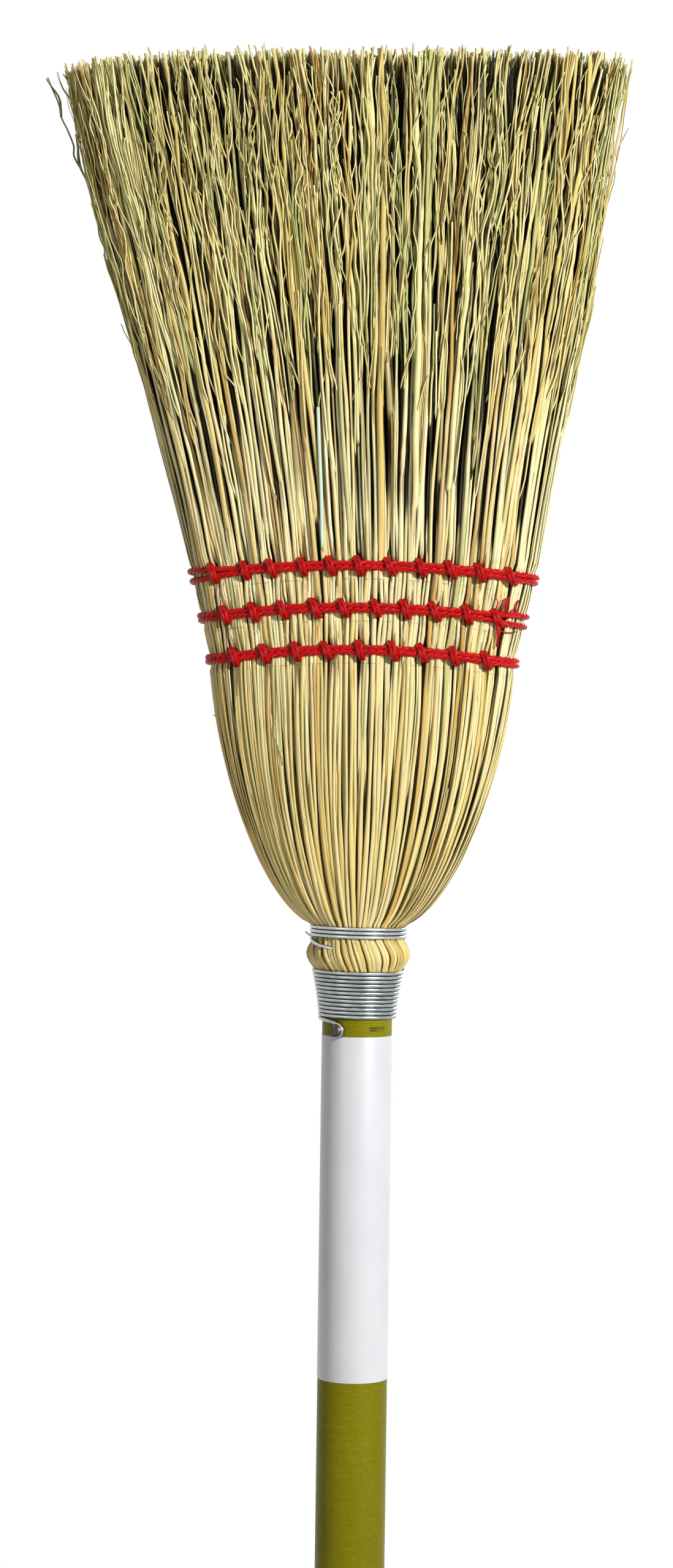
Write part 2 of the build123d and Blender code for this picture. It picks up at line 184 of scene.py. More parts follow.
def tube(name, rings, poles, material, sharp_angle=40):
    """A piece of equal rings of points, closed by a pole at each end or, with none, into a loop."""
    count, sides = len(rings), len(rings[0])
    turns = [(side, (side + 1) % sides) for side in range(sides)]
    faces = []
    for ring in range(count - 1 if poles else count):
        low, high = ring * sides, (ring + 1) % count * sides
        faces += [(low + side, low + after, high + after, high + side) for side, after in turns]
    if poles:
        foot, last = count * sides, (count - 1) * sides
        for side, after in turns:
            faces += [(foot, after, side), (foot + 1, last + side, last + after)]
    mesh = bpy.data.meshes.new(name)
    mesh.from_pydata([tuple(point) for ring in (*rings, poles) for point in ring], [], faces)
    mesh.materials.append(material)
    mesh.shade_smooth()
    mesh.set_sharp_from_angle(angle=math.radians(sharp_angle))
    return placed(name, mesh)


def seat(piece, slot, *nodes):
    """Fixes a piece to the broom and hides the nodes it stands for; the slot is not used."""
    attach(piece, "root")
    if nodes:
        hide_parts(*nodes)


handle_radius, handle_round, driven_radius = 0.0143, 0.006, 0.006
handle_sides = 96
handle_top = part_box("handle")[1].z
head_foot = 0.98562
handle_outline = [
    (handle_radius - handle_round * (1 - math.sin(a)), handle_round * (1 - math.cos(a)))
    for a in np.linspace(0, math.pi / 2, 9)
]
handle_outline += [(handle_radius, z) for z in np.linspace(0.02, head_foot, 40)]
handle_outline += [(driven_radius, handle_top)]

paint, term = finish("olive_gloss_paint", Specular_IOR_Level=0.10)
x, y, z = split(where(term))
bearing = term.math("ARCTAN2", x, y * -1.0)
rings = grain(term, (14, 14, 1500), 4.0)
ripples = grain(term, (520, 520, 1900))
# Pale flecks on the paint: painted glints.
flecks = grain(term, (1500, 1500, 500), 2.0).smooth(0.68, 0.76)
broad = grain(term, (30, 30, 9))
scuff = bearing.near(*np.radians((40, 12, 19))) * z.near(0.9433, 0.0005, 0.0014)
scuff = scuff * grain(term, (130, 130, 2400)).smooth(0.44, 0.56) * 0.97
speck = bearing.near(*np.radians((66, 1.4, 2.6))) * z.near(0.7413, 0.0003, 0.0007)
olive = layered(
    (0.162, 0.148, 0.0008),
    (broad.smooth(0.3, 0.7), (0.218, 0.198, 0.0010)),
    (rings.smooth(0.35, 0.75) * 0.30, (0.115, 0.105, 0.001)),
    # Painted shade in the troughs of the fine ripples and painted highlight on their crests; the
    # ripples' bump is real.
    ((1 - ripples.smooth(0.30, 0.50)) * 0.28, (0.085, 0.076, 0.0006)),
    (ripples.smooth(0.58, 0.74) * 0.26, (0.36, 0.33, 0.030)),
    (flecks * 0.16, (0.46, 0.44, 0.13)),
    (speck, (0.42, 0.010, 0.008)),
    (scuff, (0.012, 0.011, 0.008)),
)
dress(term, olive, 0.30 + 0.2 * rings + 0.3 * scuff, 0.4 * rings + 0.6 * ripples, 0.55, 0.0003)
handle_rings = [circle(radius, z, handle_sides) for radius, z in handle_outline]
handle = tube("painted_handle", handle_rings, [(0, 0, 0), (0, 0, handle_top)], paint)
seat(handle, "painted_wood", "handle")


# Head of corn: the skin that its outer stalks follow, from the butts under the wire to the tips.
# The stalks swell over the neck, spread over the shoulders, are sewn flat by three rows and flare.
winding_foot, winding_top, waist_foot = 0.947, 0.96706, 0.97906
flare_foot, top_row, tip_height = 1.09562, 1.13062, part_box("front_hurl_corn")[1].z
skin_foot = 0.951
collar, bulge, waist = 0.003, 0.003, 0.0039
body_rise, shoulder_rise, skirt_rise = 0.110, 0.045, 0.240
sewn_half_width, tip_half_width, tip_lean = 0.0625, 0.119, -0.010
shoulder_half_depth, sewn_half_depth, tip_half_depth = 0.026, 0.0215, 0.031
row_bow = 0.003
sewing = {"bottom": (1.09662, 9), "middle": (1.11362, 10), "top": (top_row, 11)}


def blend(start, end, share):
    return start + (end - start) * share


def level(z):
    """Height as a share of the way from the butts to the trimmed tips."""
    return (z - skin_foot) / (tip_height - skin_foot)


def skirt_share(z):
    """Height as a share of the way from the top row to the trimmed tips."""
    return max(0.0, z - top_row) / (tip_height - top_row)


def head_size(z):
    """Half width, half depth and sideways lean of the head at a height."""
    if z <= winding_top:
        share = max(0.0, z - winding_foot) / (winding_top - winding_foot)
        radius = handle_radius + collar * share**1.5
        return radius, radius, 0.0
    if z <= head_foot:
        share = min(1.0, (z - winding_top) / (waist_foot - winding_top))
        radius = handle_radius + blend(collar, waist, share) + bulge * math.sin(math.pi * share)
        return radius, radius, 0.0
    neck_radius = handle_radius + waist
    rise = z - head_foot
    if z <= flare_foot:
        fullness = (1 - (1 - rise / body_rise) ** 1.6) ** (1 / 1.6)
        half_width = blend(neck_radius, sewn_half_width, fullness)
    else:
        half_width = blend(sewn_half_width, tip_half_width, (z - flare_foot) / skirt_rise)
    if rise <= shoulder_rise:
        share = math.sin(math.pi / 2 * rise / shoulder_rise)
        half_depth = blend(neck_radius, shoulder_half_depth, share)
    elif z <= flare_foot:
        share = (rise - shoulder_rise) / (body_rise - shoulder_rise)
        share = (1 - math.cos(math.pi * share)) / 2
        half_depth = blend(shoulder_half_depth, sewn_half_depth, share)
    else:
        half_depth = blend(sewn_half_depth, tip_half_depth, skirt_share(z))
    return half_width, half_depth, tip_lean * skirt_share(z)


def arcs(half_width, half_depth):
    """A flat oval's end radius, end centre, face set-back, face radius and face half angle."""
    end = 0.75 * half_depth
    reach, squash = half_width - end, half_depth - end
    rise = (reach**2 - squash**2) / (2 * squash)
    return end, reach, rise, half_depth + rise, math.atan2(reach, rise)


def oval(half_width, half_depth, shares):
    """Points round a flat oval and the way out; share 0 is left, 0.5 the front and 1 right."""
    end, reach, rise, face, face_angle = arcs(half_width, half_depth)
    end_length = end * (math.pi / 2 - face_angle)
    half_length = 2 * (end_length + face * face_angle)
    shares = np.asarray(shares, float) % 2
    along = np.minimum(shares, 2 - shares) * half_length
    left, right = along < end_length, along > half_length - end_length
    middle = (along - end_length) / face - face_angle
    from_left, from_right = along / end, (half_length - along) / end
    out_x = np.select((left, right), (-np.cos(from_left), np.cos(from_right)), np.sin(middle))
    out_y = np.select((left, right), (np.sin(from_left), np.sin(from_right)), np.cos(middle))
    radius = np.where(left | right, end, face)
    x = np.select((left, right), (-reach, reach), 0.0) + radius * out_x
    y = np.where(left | right, 0.0, -rise) + radius * out_y
    side = np.where(shares <= 1, -1.0, 1.0)
    return x, y * side, out_x, out_y * side


def row_reach(height):
    """How far across the broad faces of the head go at a row."""
    _, _, _, face, face_angle = arcs(*head_size(height)[:2])
    return face * math.sin(face_angle)


def knot_places(name):
    """Where the lock stitches of a row cross it, across and up."""
    height, count = sewing[name]
    last = head_size(height)[0] - 0.011
    for across in np.linspace(-last, last, count):
        yield across, height - row_bow * (across / row_reach(height)) ** 2


def hump(distance, reach):
    """1 at no distance, falling off on both sides."""
    return np.exp(-((distance / reach) ** 2))


knots = np.array([place for name in sewing for place in knot_places(name)])
neck_twist, twist_top, twist_fall = math.radians(19), 0.9835, 0.0200
row_dip, stitch_dip, stitch_swell, stitch_part = 0.0012, 0.0024, 0.0007, 0.0012
rows_low, rows_high = 1.06, 1.18
edge_hang = 0.004
# How far the left and the right edge draw in near the tips, from which height, and over how much.
edges_in = (0.0038, 1.280, 0.055), (0.0032, 1.235, 0.085)


def skin(shares, heights, inward=0.0):
    """Grid of points on the skin, drawn in by the rows and parted round each lock stitch."""
    grid = np.zeros((len(heights), len(shares), 3))
    for points, z in zip(grid, heights):
        half_width, half_depth, lean = head_size(z)
        twist = neck_twist / math.pi * np.clip((twist_top - z) / twist_fall, 0, 1)
        x, y, out_x, out_y = oval(half_width, half_depth, shares + twist)
        dip, part = np.zeros((2, len(shares)))
        if rows_low < z < rows_high:
            for height, _ in sewing.values():
                line = height - row_bow * np.minimum(1.2, (x / row_reach(height)) ** 2)
                dip += row_dip * hump(z - line, 0.0026)
            for knot_x, knot_z in knots:
                outer = knot_z > top_row - 0.004 if z > knot_z else knot_z < flare_foot + 0.002
                near = hump(z - knot_z, 0.0125 if outer else 0.0050) * (np.abs(out_y) > 0.4)
                beside = x - knot_x
                dip += stitch_dip * near * hump(beside, 0.0017)
                dip -= stitch_swell * near * hump(np.abs(beside) - 0.006, 0.003)
                pull = np.tanh(beside / 0.0007) * np.exp(-np.abs(beside) / 0.0032)
                part += stitch_part * near * pull
        left_in, right_in = (far * np.clip((z - foot) / rise, 0, 1) for far, foot, rise in edges_in)
        part -= np.where(x < 0, -left_in, right_in) * (x / half_width) ** 2
        points[:, 0] = lean + x + part - out_x * (dip + inward)
        points[:, 1] = y - out_y * (dip + inward)
        edge = np.clip((-0.085 - points[:, 0]) / 0.045, 0, 1)
        points[:, 2] = z - edge_hang * edge**1.5 * skirt_share(z)
    return grid


guide_shares = np.linspace(-0.4, 2.4, 500)
guide_heights = np.concatenate([
    np.linspace(skin_foot, 0.992, 50)[:-1],
    np.linspace(0.992, 1.07, 40)[:-1],
    np.linspace(1.07, 1.175, 86)[:-1],
    np.linspace(1.175, 1.352, 38),
])
guide_grid = skin(guide_shares, guide_heights)
columns = len(guide_shares)
corners = [
    row * columns + column
    for row in range(len(guide_heights) - 1) for column in range(columns - 1)
]
guide_mesh = bpy.data.meshes.new("corn_guide")
guide_mesh.from_pydata(
    guide_grid.reshape(-1, 3).tolist(), [],
    [(corner, corner + 1, corner + columns + 1, corner + columns) for corner in corners],
)
guide_map = np.stack(np.meshgrid(guide_shares / 2, level(guide_heights)), axis=2)
half_widths, half_depths, leans = np.array([head_size(z) for z in guide_heights]).T[:, :, None]
spine = guide_grid.copy()
spine[:, :, 0] = leans + (guide_grid[:, :, 0] - leans) * (1 - 0.68 * half_depths / half_widths)
spine[:, :, 1] = 0.0
for name, kind, values in (("skin", "FLOAT2", guide_map), ("spine", "FLOAT_VECTOR", spine)):
    guide_mesh.attributes.new(name, kind, "POINT").data.foreach_set("vector", values.ravel())
guide_mesh.shade_smooth()
guide = placed("corn_guide", guide_mesh)


# Packed corn: the heart of the head, where the butts and the sewn stalks are pressed into one mass.
# It only shows between the outer stalks, darkened as painted shade, and ends below the skirt.
core_shares = np.linspace(0, 2, 160, endpoint=False)
core_heights = np.concatenate([np.linspace(0.953, 1.09, 40), np.linspace(1.094, 1.132, 24)])
core_inset, core_hollow = 0.0024, 0.01
core_rings = skin(core_shares, core_heights, core_inset)
core_poles = [(0, 0, core_heights[0]), (0, 0, core_heights[-1] - core_hollow)]
painted_shade_corn, term = finish("packed_corn", Roughness=0.8)
streaks = grain(term, (900, 900, 14), 2.0).smooth(0.35, 0.7)
# The dark brown, with its streaks, is painted shade.
dress(term, layered((0.045, 0.028, 0.009), (streaks, (0.20, 0.135, 0.045))))
seat(tube("packed_corn", core_rings, core_poles, painted_shade_corn), "inside_corn")


# Corn strands: stalks of dried broom corn, smooth and flat below, with fine crinkled fibres above.
# Each follows the skin from its foot to its tip, some way in, and wanders more the higher it gets.
def shape_tree(name, **inputs):
    """A geometry tree with named inputs, listed by kind, and a term for each of them."""
    tree = bpy.data.node_groups.new(name, "GeometryNodeTree")
    for kind, labels in {"Geometry": "geometry", **inputs, "Material": "material"}.items():
        for label in labels.split():
            tree.interface.new_socket(label, in_out="INPUT", socket_type="NodeSocket" + kind)
    tree.interface.new_socket("geometry", in_out="OUTPUT", socket_type="NodeSocketGeometry")
    sockets = tree.nodes.new("NodeGroupInput").outputs
    return Term(tree), SimpleNamespace(**{s.name: Term(tree, s) for s in sockets if s.name})


def end_tree(geometry, material):
    """Ends a tree with smooth, real faces in their material."""
    geometry = geometry.add("GeometryNodeSetShadeSmooth", {}, geometry)
    geometry = geometry.add("GeometryNodeRealizeInstances", {}, geometry)
    geometry = geometry.add("GeometryNodeSetMaterial", {}, geometry, Material=material)
    geometry.feed(geometry.tree.nodes.new("NodeGroupOutput").inputs[0], geometry)


def shaped(name, term, base, **inputs):
    """The plain mesh that a tree makes of a base mesh, as a piece at the origin."""
    host = placed(name + "_host", base)
    modifier = host.modifiers.new("shape", "NODES")
    modifier.node_group = term.tree
    for item in term.tree.interface.items_tree:
        if item.in_out == "INPUT" and item.name in inputs:
            modifier[item.identifier] = inputs[item.name]
    graph = bpy.context.evaluated_depsgraph_get()
    mesh = bpy.data.meshes.new_from_object(
        host.evaluated_get(graph), preserve_all_data_layers=True, depsgraph=graph)
    host.modifiers.remove(modifier)
    bpy.data.objects.remove(host)
    mesh.name = name
    return placed(name, mesh)


def keep(geometry, name, value, kind="FLOAT", domain="POINT"):
    """Stores a value on the geometry for its material."""
    return geometry.add("GeometryNodeStoreNamedAttribute", {"data_type": kind, "domain": domain},
                        geometry, Name=name, Value=value)


def vector(operation, first, second):
    return first.add("ShaderNodeVectorMath", {"operation": operation}, first, second)


def scaled(way, amount):
    return way.add("ShaderNodeVectorMath", {"operation": "SCALE"}, Vector=way, Scale=amount)


def noise(term, detail, **spot):
    """Noise at a spot given by its X, Y and Z."""
    spot = term.add("ShaderNodeCombineXYZ", **spot)
    return term.add("ShaderNodeTexNoise", Vector=spot, Scale=1.0, Detail=detail)


strands, given = shape_tree(
    "corn_strands", Object="guide", Int="count per_stalk points sides seed",
    Float="start finish foot_low foot_high tip_low tip_high inset_low inset_high tint_low "
    "tint_high width width_spread taper_from tip_share flatness deep climb sway kink kink_cells "
    "spread hold crowding slant")
line = strands.add("GeometryNodeCurvePrimitiveLine")
line = line.add("GeometryNodeResampleCurve", {}, line, Count=given.points)
line = line.add("GeometryNodeDuplicateElements", {"domain": "SPLINE"}, line, Amount=given.count)
strand = line.out("Duplicate Index")
stalk = strands.math("FLOOR", strand / given.per_stalk)
stalks = strands.math("CEIL", given.count / given.per_stalk)
draws = iter(range(100))


def drawn(low, high, owner):
    """A number drawn for each stalk or strand."""
    return strands.add("FunctionNodeRandomValue", Min=low, Max=high, ID=owner,
                       Seed=given.seed + next(draws) * 101)


along = strands.add("GeometryNodeSplineParameter")
foot = drawn(given.foot_low, given.foot_high, strand)
tip = drawn(given.tip_low, given.tip_high, strand)
up = foot + (tip - foot) * along ** given.crowding
turn = (stalk + drawn(0.05, 0.95, stalk)) / stalks * (given.finish - given.start)
turn = given.start + turn + drawn(-1.0, 1.0, strand) * given.slant * along
skin_mesh = strands.add("GeometryNodeObjectInfo", {"transform_space": "ORIGINAL"},
                        Object=given.guide).out("Geometry")
skin_spot = strands.add("ShaderNodeCombineXYZ", X=turn, Y=up)


def named(name, kind="FLOAT"):
    return strands.add("GeometryNodeInputNamedAttribute", {"data_type": kind}, Name=name)


def on_skin(value):
    """A value of the guide where a strand follows it."""
    return strands.add(
        "GeometryNodeSampleUVSurface", {"data_type": "FLOAT_VECTOR"}, Mesh=skin_mesh, Value=value,
        UV_Map=named("skin", "FLOAT_VECTOR"), Sample_UV=skin_spot)


surface = on_skin(strands.add("GeometryNodeInputPosition"))
outward = on_skin(strands.add("GeometryNodeInputNormal"))
middle = on_skin(named("spine", "FLOAT_VECTOR"))
own_inset = drawn(given.inset_low, given.inset_high, stalk)
climbed = up.smooth(foot, foot + given.climb)
opened = up.smooth(level(1.131), level(1.170))
inset = own_inset * (0.5 + 1.1 * opened) + given.deep * (1 - climbed)
loose = up.smooth(level(1.135), 1.0)


def wander(owner, cells):
    """A smooth random way that a stalk or strand wanders in as it rises."""
    way = noise(strands, 0.5, X=drawn(0.0, 400.0, owner), Y=up * cells).out("Color")
    return vector("MULTIPLY", vector("SUBTRACT", way, (0.5, 0.5, 0.5)), (1.0, 1.0, 0.0))


sway = scaled(wander(stalk, 7.0), given.sway * (0.28 + loose))
kink_way = wander(strand, given.kink_cells)
kink = scaled(kink_way, given.kink * (0.06 + loose) * drawn(0.0, 1.0, strand) ** 1.7)
branch = strands.add("ShaderNodeCombineXYZ", X=drawn(-1.0, 1.0, strand), Y=drawn(-0.6, 0.6, strand))
branch = scaled(branch, given.spread * along**1.4)
drift = vector("ADD", vector("ADD", sway, kink), branch)
leaving = strands.math("MAXIMUM", vector("DOT_PRODUCT", drift, outward), 0.0)
drift = vector("SUBTRACT", drift, scaled(outward, leaving * given.hold))
place = vector("ADD", surface, scaled(vector("SUBTRACT", middle, surface), inset))
line = line.add("GeometryNodeSetPosition", {}, line, Position=vector("ADD", place, drift))
turned_out = vector("ADD", outward, scaled(wander(strand, 6.0), 1.3))
line = line.add("GeometryNodeSetCurveNormal", {"mode": "FREE"}, line, Normal=turned_out)
tint = drawn(0.0, 0.85, stalk) + drawn(0.0, 0.15, strand)
tint = given.tint_low + tint * (given.tint_high - given.tint_low)
kept = {"tint": tint, "rise": up, "inset": inset, "along": along, "cell": strand}
for name, value in kept.items():
    line = keep(line, name, value)
thin = strands.add("ShaderNodeMapRange", Value=up, From_Min=given.taper_from, From_Max=1.0,
                   To_Min=1.0, To_Max=given.tip_share)
knobs = noise(strands, 0.0, X=drawn(0.0, 400.0, strand), Y=up * 70.0) - 0.5
half = drawn(1 - given.width_spread, 1 + given.width_spread, stalk)
half = given.width * 0.5 * half * thin
half = half * (1 + knobs * (0.12 + 0.7 * loose)) * (0.15 + 0.85 * along.smooth(0.0, 0.04))
fuller_neck = 0.32 * (1 - up.smooth(level(0.973), level(0.983)))
half = half * (0.74 + 0.26 * up.smooth(level(0.985), level(1.03)) + fuller_neck)
profile = strands.add("GeometryNodeCurvePrimitiveCircle", Resolution=given.sides, Radius=1.0)
profile = keep(profile, "around", strands.add("GeometryNodeSplineParameter"))
profile = keep(profile, "ring", strands.add("GeometryNodeInputPosition"), "FLOAT_VECTOR")
flat = strands.add("ShaderNodeCombineXYZ", X=given.flatness, Y=1.0, Z=1.0)
profile = profile.add("GeometryNodeTransform", {}, profile, Scale=flat)
tubes = line.add("GeometryNodeCurveToMesh", {}, line, profile, Scale=half, Fill_Caps=True)

# Each strand has a cell of the bake map to itself, with its way round across and its length up.
map_columns = strands.math("CEIL", strands.math("SQRT", given.count * 6.0))
map_rows = strands.math("CEIL", given.count / map_columns)
cell, around = named("cell"), named("around")
map_row = strands.math("FLOOR", (cell + 0.5) / map_columns)
face_around = strands.add("GeometryNodeFieldOnDomain", {"domain": "FACE"}, Value=around)
around = around + strands.math("GREATER_THAN", face_around - around, 0.25)
map_x = (cell - map_row * map_columns + 0.1 + 0.8 * around) / map_columns
map_y = (map_row + 0.02 + 0.96 * named("along")) / map_rows
bake_spot = strands.add("ShaderNodeCombineXYZ", X=map_x, Y=map_y)
end_tree(keep(tubes, "OFBake", bake_spot, "FLOAT2", "CORNER"), given.material)


def read(term, attribute, output="Fac"):
    return term.add("ShaderNodeAttribute", {"attribute_name": attribute}).out(output)


def corn_finish(name, straw, green, tan, shade=0.090, tip_fade=1.0185):
    """Dry corn: each strand has its own colour, greener towards the tips, and fine streaks; painted
    shade darkens its edges, the strands deep in and a line below each row.
    """
    material, term = finish(name, Specular_IOR_Level=0.18)
    tint, rise, inset, cell = (read(term, kept) for kept in ("tint", "rise", "inset", "cell"))
    ring_x, ring_y, _ = split(read(term, "ring", "Vector"))
    own = cell * 7.31 + tint * 53.0
    streak = noise(term, 3.0, X=ring_x * 1.9 + own, Y=ring_y * 1.9, Z=rise * 15.0)
    patch = noise(term, 2.0, X=own, Y=rise * 20.0)
    low, high = (term.add("ShaderNodeValToRGB", {"stops": s}, Fac=tint) for s in (straw, green))
    sewn = rise.smooth(0.29, 0.37) * (1 - rise.smooth(0.44, 0.49))
    x, _, z = split(where(term))
    bowed = z + x * x * 1.2
    # Painted shade along a line below each row.
    pressed_line_shade = sum(bowed.near(row - 0.0054, 0.00010, 0.00042) for row, _ in sewing.values())
    # Painted shade at the edges of every strand, where they meet.
    strand_edge_shade = term.math("ABSOLUTE", ring_y) - 0.03 * (1 - rise.smooth(0.12, 0.30))
    soft = 0.035 - 0.017 * rise.smooth(0.30, 0.46)
    # Painted shade on the strands deep in the head, giving way towards the tips.
    deep_shade = inset.smooth(shade - soft, shade + soft)
    deep_shade = deep_shade * (1 - (rise + 0.06 * patch).smooth(tip_fade, 1.0375))
    deep_shade = deep_shade * (0.30 + 0.70 * rise.smooth(0.06, 0.20))
    cut = read(term, "along").smooth(0.985, 1.0) * rise.smooth(0.9735, 0.9935)
    colour = layered(
        low,
        (rise.smooth(0.40, 0.80), high),
        # The butts are golden and the sewn part is paler, with streaks and patches all along.
        ((1 - rise.smooth(0.12, 0.34)) * 0.45, (0.63, 0.46, 0.110)),
        (sewn * 0.42, (0.92, 0.83, 0.50)),
        (streak.smooth(0.48, 0.66) * (0.42 - 0.16 * rise.smooth(0.5, 0.7)), tan),
        (patch.smooth(0.56, 0.76) * 0.30, (0.46, 0.44, 0.20)),
        ((1 - patch.smooth(0.28, 0.42)) * 0.35, (0.42, 0.26, 0.085)),
        # Painted shade: a line below each row, where the twine presses the stalks in, the edges of
        # every strand, and the strands deep in.
        (pressed_line_shade * patch.smooth(0.42, 0.62) * 0.4, (0.16, 0.11, 0.04)),
        (strand_edge_shade.smooth(0.70, 0.87) * (0.90 - 0.30 * sewn), (0.030, 0.018, 0.004)),
        (deep_shade * 0.96, (0.014, 0.010, 0.003)),
        # The trimmed ends are pale.
        (cut * 0.75, (0.70, 0.60, 0.30)),
    )
    dress(term, colour, 0.42 + 0.25 * streak, streak, 0.35, 0.0003)
    return material


straw_stops = [
    (0.00, (0.33, 0.16, 0.035)), (0.07, (0.55, 0.33, 0.095)), (0.18, (0.69, 0.50, 0.175)),
    (0.38, (0.79, 0.64, 0.280)), (0.60, (0.86, 0.76, 0.410)), (0.78, (0.80, 0.75, 0.430)),
    (0.90, (0.58, 0.58, 0.280)), (1.00, (0.40, 0.42, 0.175)),
]
green_stops = [
    (0.00, (0.31, 0.15, 0.028)), (0.08, (0.54, 0.33, 0.080)), (0.20, (0.63, 0.49, 0.150)),
    (0.42, (0.78, 0.68, 0.290)), (0.62, (0.87, 0.80, 0.400)), (0.78, (0.60, 0.60, 0.230)),
    (0.90, (0.34, 0.36, 0.110)), (1.00, (0.19, 0.21, 0.065)),
]
hurl_corn = corn_finish("hurl_corn", straw_stops, green_stops, (0.46, 0.31, 0.105))
# The inner bunches' painted shade gives way lower down, so their tips show lighter near the top:
# painted light.
inside_corn = corn_finish("inside_corn", straw_stops, green_stops, (0.38, 0.26, 0.09),
                          tip_fade=0.9785)


def corn(**inputs):
    """Strands on one stretch of the head, from defaults that suit a plain outer stalk.

    A pair is the least and the most that is drawn. Feet and tapers are heights, the climb is a
    length, and tips are levels, with 1 at the trim.
    """
    values = dict(
        guide=guide, per_stalk=1, points=40, sides=6, start=0.0, finish=0.5, tip=(1.0, 1.0053),
        inset=(0.02, 0.06), tint=(0.0, 1.0), width_spread=0.22, taper_from=1.12, tip_share=0.4,
        flatness=0.62, deep=0.0, climb=0.04, sway=0.008, kink=0.002, kink_cells=30.0, spread=0.0,
        hold=0.8, crowding=1.0, slant=0.004, material=hurl_corn,
    )
    values.update(inputs)
    values["foot"] = [level(z) for z in values["foot"]]
    values["taper_from"] = level(values["taper_from"])
    values["climb"] /= tip_height - skin_foot
    for pair in ("foot", "tip", "inset", "tint"):
        values[pair + "_low"], values[pair + "_high"] = values.pop(pair)
    return shaped("corn", strands, bpy.data.meshes.new("corn"), **values)


# Inner bunches: the middle of the broom and its two shoulders, tied on the handle before the hurl.
# Only their loose upper parts show, as stalks and branching fibres that fill the skirt.
def joined(name, pieces):
    """One piece from several; each keeps a band of the bake map to itself."""
    sizes = [len(piece.data.polygons) for piece in pieces]
    for order, piece in enumerate(pieces):
        bake_map = piece.data.uv_layers.get("OFBake")
        if bake_map:
            spots = np.empty(2 * len(bake_map.uv), np.float32)
            bake_map.uv.foreach_get("vector", spots)
            spots[1::2] = (sum(sizes[:order]) + spots[1::2] * sizes[order]) / sum(sizes)
            bake_map.uv.foreach_set("vector", spots)
    with bpy.context.temp_override(active_object=pieces[0], selected_editable_objects=pieces):
        bpy.ops.object.join()
    pieces[0].name = name
    pieces[0].data.name = name
    return pieces[0]


inner_stretches = {
    "inside_corn": ((0.15, 0.35, 270), (0.65, 0.85, 270)),
    "left_shoulder_corn": ((0.85, 1.15, 340),),
    "right_shoulder_corn": ((0.35, 0.65, 340),),
}
for number, (node, stretches) in enumerate(inner_stretches.items()):
    bunches = []
    for order, (start, finish_at, count) in enumerate(stretches):
        common = dict(start=start, finish=finish_at, sides=4, inset=(0.14, 0.98), sway=0.012,
                      material=inside_corn, seed=40 + 10 * number + order)
        bunches += [
            corn(count=count, points=12, foot=(1.095, 1.12), width=0.0021, kink=0.003, **common),
            corn(count=count * 4, per_stalk=4, points=9, foot=(1.17, 1.28), width=0.0013,
                 tip_share=0.75, taper_from=1.2, kink=0.006, spread=0.006, kink_cells=34.0,
                 **common),
        ]
    seat(joined(node.replace("_corn", "_strands"), bunches), "inside_corn", node)


# Hurl: the long outer stalks, laid over the front and the back and held by the wire at their butts.
# More stalks are pushed in between them above the neck, and all divide into fine, crinkled tips.
hurl_layers = {
    "stalks": [
        # Long stalks from the butts, and a lining that closes the gaps between them.
        dict(count=46, points=104, crowding=1.7, foot=(0.9515, 0.9535), width=0.0021,
             taper_from=1.0, tip_share=0.6, flatness=0.75, inset=(0.02, 0.07), slant=0.007, seed=0),
        dict(count=46, points=36, sides=5, foot=(0.9515, 0.955), tip=(level(1.03), level(1.06)),
             width=0.0021, inset=(0.17, 0.22), seed=1),
        # Stalks that spread over the shoulders, and thinner ones that fill in higher up.
        dict(count=66, points=62, crowding=1.3, foot=(0.9752, 0.9780), tip=(level(1.30), 1.0053),
             width=0.0019, taper_from=1.02, tip_share=0.6, flatness=0.75, deep=0.14, climb=0.026,
             inset=(0.03, 0.12), width_spread=0.3, slant=0.013, seed=2),
        dict(count=130, points=46, foot=(0.982, 1.02), tip=(level(1.28), level(1.335)),
             width=0.0014, taper_from=1.05, tip_share=0.75, flatness=0.75, deep=0.24, climb=0.060,
             inset=(0.03, 0.15), sway=0.010, kink=0.003, width_spread=0.35, slant=0.018, seed=4),
    ],
    "tips": [
        # Thick stems through the skirt, and the fibres that make its trimmed edge.
        dict(count=30, points=36, foot=(1.100, 1.170), width=0.0026, width_spread=0.35,
             taper_from=1.16, tip_share=0.75, flatness=0.6, inset=(0.0, 0.06), deep=0.30,
             climb=0.030, sway=0.009, kink=0.003, slant=0.010, tint=(0.10, 0.92), seed=6),
        dict(count=380, per_stalk=4, points=58, sides=3, foot=(1.175, 1.275), tip=(0.9945, 1.0075),
             width=0.0013, tip_share=0.7, taper_from=1.2, deep=0.18, climb=0.025,
             inset=(-0.01, 0.13), sway=0.013, kink=0.0040, spread=0.0058, kink_cells=27.0,
             width_spread=0.3, seed=3),
    ],
    "fringe": [
        # Strays and curls that stand out of the faces, and short twigs at every height.
        dict(count=60, points=38, sides=4, foot=(1.15, 1.215), tip=(level(1.24), level(1.33)),
             width=0.0010, tip_share=0.6, taper_from=1.2, deep=0.14, climb=0.015,
             inset=(-0.01, 0.03), sway=0.010, kink=0.0085, spread=0.004, kink_cells=26.0, hold=0.6,
             seed=5),
        dict(count=130, points=44, sides=4, foot=(1.205, 1.275), tip=(level(1.300), 1.0115),
             width=0.0009, tip_share=0.7, taper_from=1.25, deep=0.10, climb=0.012,
             inset=(-0.04, 0.03), sway=0.010, kink=0.0125, spread=0.005, hold=0.5,
             tint=(0.10, 0.95), seed=7),
    ],
}
